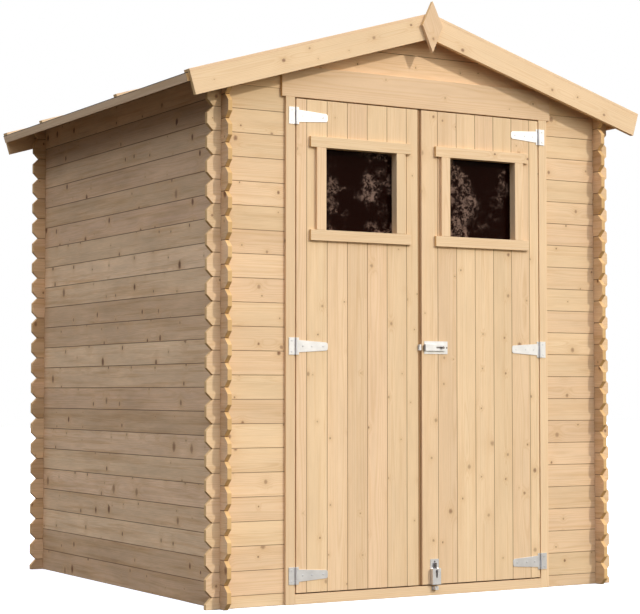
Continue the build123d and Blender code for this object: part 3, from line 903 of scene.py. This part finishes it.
def heads_on(name, places, body, radius, height, seed, finish=steel, rule=screw_rule):
    """Screw or nail heads at places given as (point, facing)."""
    draw = random.Random(seed)
    base = bpy.data.meshes.new(name)
    base.from_pydata([tuple(point) for point, _ in places], [], [])
    facing = base.attributes.new("facing", "FLOAT_VECTOR", "POINT")
    ways = np.array([tuple(way) for _, way in places], np.float32)
    facing.data.foreach_set("vector", ways.ravel())
    turn = base.attributes.new("turn", "FLOAT", "POINT")
    turns = np.array([draw.uniform(0, math.pi) for _ in places], np.float32)
    turn.data.foreach_set("value", turns)
    mesh = grown(rule(), base, {
        "Radius": radius, "Height": height, "Recess": SCREW_RECESS, "Material": finish()})
    mesh.name = name
    return place_piece(name, mesh, finish(), body)


def shade_smooth(mesh):
    """Small facets of round shapes shaded smooth, broad faces flat."""
    mesh.polygons.foreach_set("use_smooth", [face.area < BROAD_FACE for face in mesh.polygons])
    mesh.set_sharp_from_angle(angle=SHARP_ANGLE)


def dress_steel(nodes, width, finish=steel):
    """Stands a piece with eased edges in for each of these metal nodes."""
    for node in nodes:
        bm = merged_copy(node)
        ease_edges(bm, width, 1)
        bm.verts.index_update()
        mesh = bpy.data.meshes.new(node + "_steel")
        mesh.from_pydata([tuple(vert.co) for vert in bm.verts], [],
                         [[vert.index for vert in face.verts] for face in bm.faces])
        bm.free()
        shade_smooth(mesh)
        place_piece(node + "_steel", mesh, finish(), body_of(node), [node])


class ShedOperator(bpy.types.Operator):
    """What the shed's operators share."""
    bl_options = {"REGISTER", "UNDO"}


# Places on the shed that the sizes of the frame don't give
FORWARD = (0.0, -1.0, 0.0)
SIDE_BOARDS = 22
FRONT_BOARDS = 21
NAIL_INSET = 0.016
NAIL_END = 0.070
LAP_SINK = 0.0003
HINGE_METAL = 0.0025
HINGE_EASE = 0.0004
STRAP_SCREWS = (0.24, 0.52, 0.86)
PLATE_SCREWS = (0.18, 0.82)
PLATE_SCREW_INSET = 0.0125
BOLT_METAL = 0.002
BOLT_EASE = 0.0003
LATCH_SCREW_INSET = 0.0042
FOOT_SCREW_DROP = 0.010
HINGE_SCREW_SEED, BOLT_SCREW_SEED, NAIL_SEED = 11, 17, 23


def along_roof(down, out, fall, height, y):
    """A point on a slope of the roof."""
    return down * fall + out * height + Vector((0.0, y, 0.0))


def roof_slope(node):
    """The way down a slope, the way out of it, its ridge, eave and height, and its rear end."""
    part = solids_of(node)[0]
    top = max(part.faces, key=lambda face: face.calc_area() * face.normal.z)
    out = top.normal.copy()
    down = Vector((math.copysign(out.z, out.x), 0.0, -abs(out.x)))
    falls = [vert.co.dot(down) for vert in top.verts]
    level = top.verts[0].co.dot(out)
    rear = max(vert.co.y for vert in top.verts)
    part.free()
    return down, out, min(falls), max(falls), level, rear


def lap_wedge(down, out, edge, level, rear):
    """The six corners of a strip's lower edge, which thins away up the slope."""
    roof = bpy.context.scene.shed_roof
    profile = [(edge, level - LAP_SINK), (edge, level + roof.lap_height),
               (edge - roof.lap_width, level - LAP_SINK)]
    return [along_roof(down, out, fall, height, y)
            for y in (-rear, rear) for fall, height in profile]


def joined_prisms(name, prisms):
    """A mesh of three-sided prisms, each given by six corners."""
    mesh = bpy.data.meshes.new(name)
    sides = [(0, 1, 2), (5, 4, 3), (0, 3, 4, 1), (1, 4, 5, 2), (2, 5, 3, 0)]
    corners = [tuple(corner) for prism in prisms for corner in prism]
    starts = range(0, len(corners), 6)
    faces = [[start + place for place in side] for start in starts for side in sides]
    mesh.from_pydata(corners, [], faces)
    bm = bmesh.new()
    bm.from_mesh(mesh)
    bmesh.ops.recalc_face_normals(bm, faces=bm.faces)
    bm.to_mesh(mesh)
    bm.free()
    return mesh


class SHED_OT_walls(ShedOperator):
    """Stack the notched boards of the walls"""
    bl_idname = "shed.walls"
    bl_label = "Walls"

    def execute(self, context):
        # The side and rear walls take the darker side boards, whose darkness is partly painted shade
        for node in ("left_wall", "right_wall"):
            stacked_wall(node, 0, SIDE_BOARDS, timber_finish("spruce_side_boards_painted_shade"))
        for node in ("front_wall_left", "front_wall_right"):
            stacked_wall(node, 1, FRONT_BOARDS, timber_finish("spruce_wall_boards"))
        stacked_wall("rear_wall", 1, FRONT_BOARDS, timber_finish("spruce_side_boards_painted_shade"))
        # The gable boards' finish is tinted lighter as painted light under the overhanging roof
        dress_timber(["front_gable"], timber_finish("spruce_gable_boards_painted_light"),
                     context.scene.shed_timber.arris)
        return {"FINISHED"}


class SHED_OT_roof_timber(ShedOperator):
    """Finish the roof boards, purlins, battens, fascias and barge boards"""
    bl_idname = "shed.roof_timber"
    bl_label = "Roof Timber"

    def execute(self, context):
        timber = context.scene.shed_timber
        dress_timber(["left_roof_boards", "right_roof_boards"], timber_finish("spruce_boards"),
                     timber.trim_arris)
        dress_timber(["ridge_purlin", "left_purlin", "right_purlin", "left_roof_battens",
                      "right_roof_battens", "left_eave_fascia", "right_eave_fascia",
                      "front_left_barge_board", "front_right_barge_board", "rear_left_barge_board",
                      "rear_right_barge_board", "front_diamond", "rear_diamond"],
                     timber_finish("spruce_trim"), timber.trim_arris)
        return {"FINISHED"}


class SHED_OT_felt(ShedOperator):
    """Lay the felt with its laps and clout nails"""
    bl_idname = "shed.felt"
    bl_label = "Roofing Felt"

    def execute(self, context):
        roof = context.scene.shed_roof
        hardware = context.scene.shed_hardware
        felt = shared_material("mineral_felt", mineral_felt)
        for side in ("left", "right"):
            node = side + "_roof_felt"
            refinish(frame["nodes"][node], felt)
            down, out, ridge, eave, level, rear = roof_slope(node)
            edges = [ridge + (eave - ridge) * strip / roof.laps for strip in range(1, roof.laps)]
            laps = [lap_wedge(down, out, edge, level, rear) for edge in edges]
            name = side + "_felt_laps"
            place_piece(name, joined_prisms(name, laps), felt, body_of(node))
            lift = level + roof.lap_height * (1 - NAIL_INSET / roof.lap_width)
            rows = [(edge - NAIL_INSET, lift) for edge in edges] + [(eave - NAIL_INSET, level)]
            spots = np.arange(-rear + NAIL_END, rear - NAIL_END, hardware.nail_spacing)
            nails = [(along_roof(down, out, fall, height, y), out)
                     for fall, height in rows for y in spots]
            heads_on(side + "_felt_nails", nails, body_of(node), hardware.nail_radius,
                     hardware.nail_height, NAIL_SEED, dark_steel, nail_rule)
        return {"FINISHED"}


class SHED_OT_door_frame(ShedOperator):
    """Finish the jambs, the lintel, the sill and the floor"""
    bl_idname = "shed.door_frame"
    bl_label = "Door Frame and Floor"

    def execute(self, context):
        timber = context.scene.shed_timber
        dress_timber(["left_jamb", "right_jamb", "lintel", "threshold", "floor_bearers"],
                     timber_finish("spruce_trim"), timber.arris)
        dress_timber(["floor_boards"], timber_finish("spruce_boards"), timber.trim_arris)
        return {"FINISHED"}


class SHED_OT_doors(ShedOperator):
    """Finish the boards, ledges and braces of both doors"""
    bl_idname = "shed.doors"
    bl_label = "Doors"

    def execute(self, context):
        timber = context.scene.shed_timber
        dress_timber(["left_door_boards", "right_door_boards"], timber_finish("spruce_boards"),
                     timber.trim_arris)
        dress_timber(["left_door_ledges", "right_door_ledges"], timber_finish("spruce_trim"),
                     timber.arris)
        # The closing lath's finish is darkened as painted shade in the gap between the doors
        dress_timber(["closing_lath"], timber_finish("spruce_lath_painted_shade"), timber.trim_arris)
        return {"FINISHED"}


class SHED_OT_windows(ShedOperator):
    """Finish the window trim and bars, and glaze the windows"""
    bl_idname = "shed.windows"
    bl_label = "Windows"

    def execute(self, context):
        glass = shared_material("glass_painted_dark_within", window_glass)
        for door in ("left_door", "right_door"):
            dress_timber([door + "_window_trim", door + "_window_bars"],
                         timber_finish("spruce_trim"), context.scene.shed_timber.trim_arris)
            pane = frame["nodes"][door + "_window_pane"]
            refinish(pane, glass)
        return {"FINISHED"}


class SHED_OT_hinges(ShedOperator):
    """Finish the strap hinges and drive their screws"""
    bl_idname = "shed.hinges"
    bl_label = "Hinges"

    def execute(self, context):
        hardware = context.scene.shed_hardware
        for side in ("left", "right"):
            straps, plates = side + "_hinge_straps", side + "_jamb_hinge_plates"
            screws = {straps: [], plates: []}
            for strap in solids_of(straps):
                low, high = box_of(strap)
                face = high.y - HINGE_METAL
                hinge_x, tip_x = (low.x, high.x) if side == "left" else (high.x, low.x)
                for share in STRAP_SCREWS:
                    x = hinge_x + (tip_x - hinge_x) * share
                    screws[straps].append((Vector((x, face, (low.z + high.z) / 2)), FORWARD))
                strap.free()
            for plate in solids_of(plates):
                low, high = box_of(plate)
                face = high.y - HINGE_METAL
                outer_x, way = (low.x, 1) if side == "left" else (high.x, -1)
                for share in PLATE_SCREWS:
                    z = low.z + (high.z - low.z) * share
                    place = Vector((outer_x + way * PLATE_SCREW_INSET, face, z))
                    screws[plates].append((place, FORWARD))
                plate.free()
            for node, places in screws.items():
                heads_on(node + "_screws", places, body_of(node), hardware.screw_radius,
                         hardware.screw_height, HINGE_SCREW_SEED)
            dress_steel([straps, plates], HINGE_EASE)
        return {"FINISHED"}


class SHED_OT_bolts(ShedOperator):
    """Finish the slide latch and the foot bolt"""
    bl_idname = "shed.bolts"
    bl_label = "Bolts"

    def execute(self, context):
        hardware = context.scene.shed_hardware
        dress_steel(["latch_case", "latch_keeper", "foot_bolt_case", "foot_bolt_keeper"], BOLT_EASE)
        # The bolts take the darker plating, which also paints the shade in the slots of their cases
        dress_steel(["latch_bolt", "foot_bolt"], BOLT_EASE, dark_steel)
        low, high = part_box("latch_case")
        middle = (low + high) / 2
        places = [Vector((high.x - LATCH_SCREW_INSET, high.y - BOLT_METAL, middle.z))]
        low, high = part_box("foot_bolt_case")
        middle = (low + high) / 2
        places.append(Vector((middle.x, high.y - BOLT_METAL, high.z - FOOT_SCREW_DROP)))
        heads_on("bolt_screws", [(place, FORWARD) for place in places], body_of("latch_case"),
                 hardware.screw_radius, hardware.screw_height, BOLT_SCREW_SEED, dark_steel)
        return {"FINISHED"}


FLOOR_DROP = 0.0005
FRONT_EASE = (0.45, 0.95)
RISE_EASE = (0.17, 0.56)
KEY_COLOUR = (1.0, 0.965, 0.90)
SENSOR_WIDTH = 36.0
VIEW_END = 200.0


class SHED_OT_stage(ShedOperator):
    """Set the pale floor, the soft light and the camera"""
    bl_idname = "shed.stage"
    bl_label = "Stage"

    def execute(self, context):
        scene = context.scene
        studio = scene.shed_studio
        half = studio.floor_size / 2
        mesh = bpy.data.meshes.new("floor")
        corners = [(-half, -half, 0), (half, -half, 0), (half, half, 0), (-half, half, 0)]
        mesh.from_pydata(corners, [], [(0, 1, 2, 3)])
        floor = bpy.data.objects.new("floor", mesh)
        scene.collection.objects.link(floor)
        floor.location.z = -FLOOR_DROP
        mesh.materials.append(pale_floor())

        world = bpy.data.worlds.new("studio")
        world.use_nodes = True
        scene.world = world
        graph = Graph(world.node_tree)
        world.node_tree.nodes.clear()
        camera_ray = graph.make("ShaderNodeLightPath", output="Is Camera Ray")
        way = graph.make("ShaderNodeTexCoord", output="Generated")
        _, _, rise = graph.split(way)
        facing = graph.make("ShaderNodeVectorMath", {"operation": "DOT_PRODUCT"},
                            {0: way, 1: Vector(studio.fill_place).normalized()}, "Value")
        around = graph.blend(graph.ease(facing, *FRONT_EASE), opaque(studio.low_light),
                             opaque(studio.front_light))
        sky = graph.blend(graph.ease(rise, *RISE_EASE), around, opaque(studio.high_light))
        soft = graph.make("ShaderNodeBackground", inputs={"Color": sky, "Strength": 1.0})
        white = graph.make("ShaderNodeBackground", inputs={
            "Color": opaque((1.0, 1.0, 1.0)), "Strength": 1.0})
        both = graph.make("ShaderNodeMixShader", inputs={0: camera_ray, 1: soft, 2: white})
        graph.make("ShaderNodeOutputWorld", inputs={"Surface": both})

        key = bpy.data.lights.new("key_light", "SUN")
        key.energy = studio.sun_strength
        key.angle = studio.sun_softness
        key.color = KEY_COLOUR
        lamp = bpy.data.objects.new("key_light", key)
        scene.collection.objects.link(lamp)
        lamp.rotation_euler = Vector(studio.sun_path).to_track_quat("-Z", "Y").to_euler()

        lens = bpy.data.cameras.new("camera")
        lens.sensor_width = SENSOR_WIDTH
        lens.lens = studio.lens
        lens.clip_end = VIEW_END
        camera = bpy.data.objects.new("camera", lens)
        scene.collection.objects.link(camera)
        camera.location = studio.eye
        level = math.cos(studio.pitch)
        view = Vector((math.sin(studio.heading) * level, math.cos(studio.heading) * level,
                       math.sin(studio.pitch)))
        camera.rotation_euler = view.to_track_quat("-Z", "Y").to_euler()
        scene.camera = camera
        scene.view_settings.view_transform = "Standard"
        return {"FINISHED"}


OPERATORS = (SHED_OT_walls, SHED_OT_roof_timber, SHED_OT_felt, SHED_OT_door_frame, SHED_OT_doors,
             SHED_OT_windows, SHED_OT_hinges, SHED_OT_bolts, SHED_OT_stage)


class SHED_PT_panel(bpy.types.Panel):
    """The shed's pieces and settings"""
    bl_idname = "SHED_PT_panel"
    bl_label = "Shed"
    bl_space_type = "VIEW_3D"
    bl_region_type = "UI"
    bl_category = "Shed"

    def draw(self, context):
        """Lists the operators and the settings."""
        for operator in OPERATORS:
            self.layout.operator(operator.bl_idname)
        for key, group in PROPERTY_GROUPS.items():
            box = self.layout.box()
            for name in group.__annotations__:
                box.prop(getattr(context.scene, key), name)


CLASSES = (*PROPERTY_GROUPS.values(), *OPERATORS, SHED_PT_panel)


def register():
    """Makes the classes known and gives the scene its settings."""
    for item in CLASSES:
        bpy.utils.register_class(item)
    for key, group in PROPERTY_GROUPS.items():
        setattr(bpy.types.Scene, key, bpy.props.PointerProperty(type=group))


def unregister():
    """Takes the settings and the classes away again."""
    for key in PROPERTY_GROUPS:
        delattr(bpy.types.Scene, key)
    for item in reversed(CLASSES):
        bpy.utils.unregister_class(item)


def main():
    """Builds every piece in order."""
    register()
    for operator in OPERATORS:
        group, name = operator.bl_idname.split(".")
        getattr(getattr(bpy.ops, group), name)()


if __name__ == "__main__":
    main()
